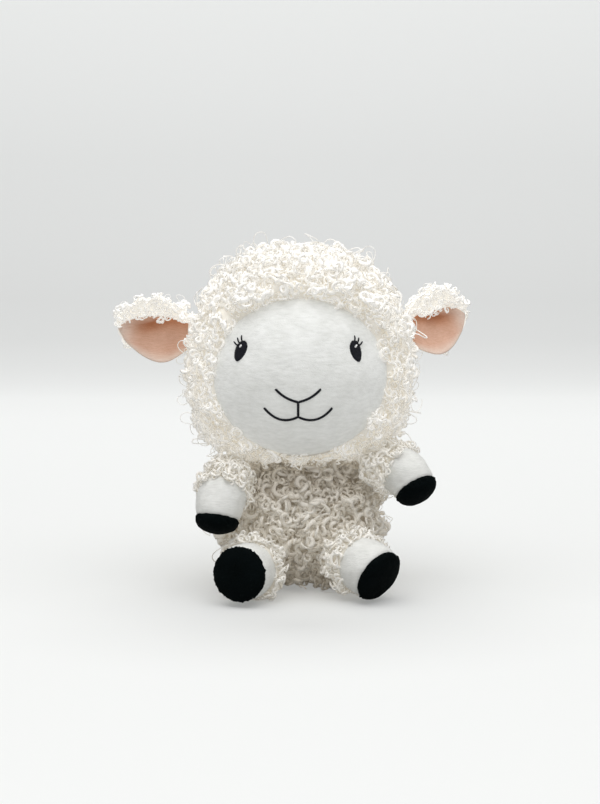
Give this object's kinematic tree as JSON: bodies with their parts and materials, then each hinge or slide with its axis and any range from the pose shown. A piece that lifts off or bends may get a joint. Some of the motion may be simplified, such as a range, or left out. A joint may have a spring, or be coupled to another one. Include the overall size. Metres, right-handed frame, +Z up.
{
  "type": "plush sheep",
  "caption": "Seated plush sheep with a big curly fleece head, smooth embroidered face, lined floppy ears, and short stuffed limbs with dark soles that swing on their seams.",
  "frame": {"origin": "on the floor, at the middle of the flat underside of the seat", "axes": "+Z up, the face looks along -Y, and the sheep's own right side is at -X"},
  "size_m": [0.2041, 0.131, 0.1927],
  "materials": {
    "curly_fleece": "cream boucle fleece of soft loose curls",
    "white_minky": "short white plush, brushed sideways",
    "black_plush": "short black plush, matte",
    "pink_minky": "short dusty pink plush",
    "black_thread": "satin stitched embroidery thread",
    "white_thread": "satin stitched embroidery thread",
    "polyester_stuffing": "loose polyester fibre",
    "pellet_sack": "woven sack of plastic pellets"
  },
  "bodies": {
    "body": {"body_fleece": "curly_fleece", "body_stuffing": "polyester_stuffing", "bean_bag": "pellet_sack"},
    "neck": {"neck_stuffing": "polyester_stuffing"},
    "head": {"head_fleece": "curly_fleece", "head_stuffing": "polyester_stuffing", "face_panel": "white_minky", "right_eye": "black_thread", "right_eye_glint": "white_thread", "left_eye": "black_thread", "left_eye_glint": "white_thread", "nose_and_mouth": "black_thread"},
    "right_ear": {"right_ear_fleece": "curly_fleece", "right_ear_lining": "pink_minky"},
    "left_ear": {"left_ear_fleece": "curly_fleece", "left_ear_lining": "pink_minky"},
    "right_arm": {"right_arm_fleece": "curly_fleece", "right_arm_cuff": "white_minky", "right_arm_hoof": "black_plush", "right_arm_stuffing": "polyester_stuffing"},
    "left_arm": {"left_arm_fleece": "curly_fleece", "left_arm_cuff": "white_minky", "left_arm_hoof": "black_plush", "left_arm_stuffing": "polyester_stuffing"},
    "right_leg": {"right_leg_fleece": "curly_fleece", "right_leg_foot": "white_minky", "right_leg_sole": "black_plush", "right_leg_stuffing": "polyester_stuffing"},
    "left_leg": {"left_leg_fleece": "curly_fleece", "left_leg_foot": "white_minky", "left_leg_sole": "black_plush", "left_leg_stuffing": "polyester_stuffing"},
    "tail": {"tail": "curly_fleece"}
  },
  "joints": [
    {"name": "neck_turn", "type": "hinge", "parent": "body", "child": "neck", "pos_m": [0, 0.002, 0.056], "axis": [0, 0, 1], "range_deg": [-25, 25], "stiffness_Nm_per_rad": 0.15},
    {"name": "head_nod", "type": "hinge", "parent": "neck", "child": "head", "pos_m": [0, 0.002, 0.056], "axis": [1, 0, 0], "range_deg": [-14, 2], "stiffness_Nm_per_rad": 0.8},
    {"name": "right_ear_flop", "type": "hinge", "parent": "head", "child": "right_ear", "pos_m": [-0.05854, 0, 0.146], "axis": [0, 1, 0], "range_deg": [-10, 10], "stiffness_Nm_per_rad": 0.02},
    {"name": "left_ear_flop", "type": "hinge", "parent": "head", "child": "left_ear", "pos_m": [0.05854, 0, 0.146], "axis": [0, 1, 0], "range_deg": [-10, 10], "stiffness_Nm_per_rad": 0.02},
    {"name": "right_shoulder", "type": "hinge", "parent": "body", "child": "right_arm", "pos_m": [-0.03772, -0.0168, 0.06351], "axis": [1, 0, 0], "range_deg": [-25, 3], "stiffness_Nm_per_rad": 0.05},
    {"name": "left_shoulder", "type": "hinge", "parent": "body", "child": "left_arm", "pos_m": [0.03772, -0.0168, 0.06351], "axis": [1, 0, 0], "range_deg": [-5, 25], "stiffness_Nm_per_rad": 0.05},
    {"name": "right_hip", "type": "hinge", "parent": "body", "child": "right_leg", "pos_m": [-0.02346, -0.0298, 0.0178], "axis": [0, 0, 1], "range_deg": [-14, 8], "stiffness_Nm_per_rad": 0.05},
    {"name": "left_hip", "type": "hinge", "parent": "body", "child": "left_leg", "pos_m": [0.02346, -0.0298, 0.0178], "axis": [0, 0, 1], "range_deg": [-8, 14], "stiffness_Nm_per_rad": 0.05},
    {"name": "tail_wag", "type": "hinge", "parent": "body", "child": "tail", "pos_m": [0, 0.03636, 0.022], "axis": [0, 0, 1], "range_deg": [-12, 12], "stiffness_Nm_per_rad": 0.004}
  ]
}
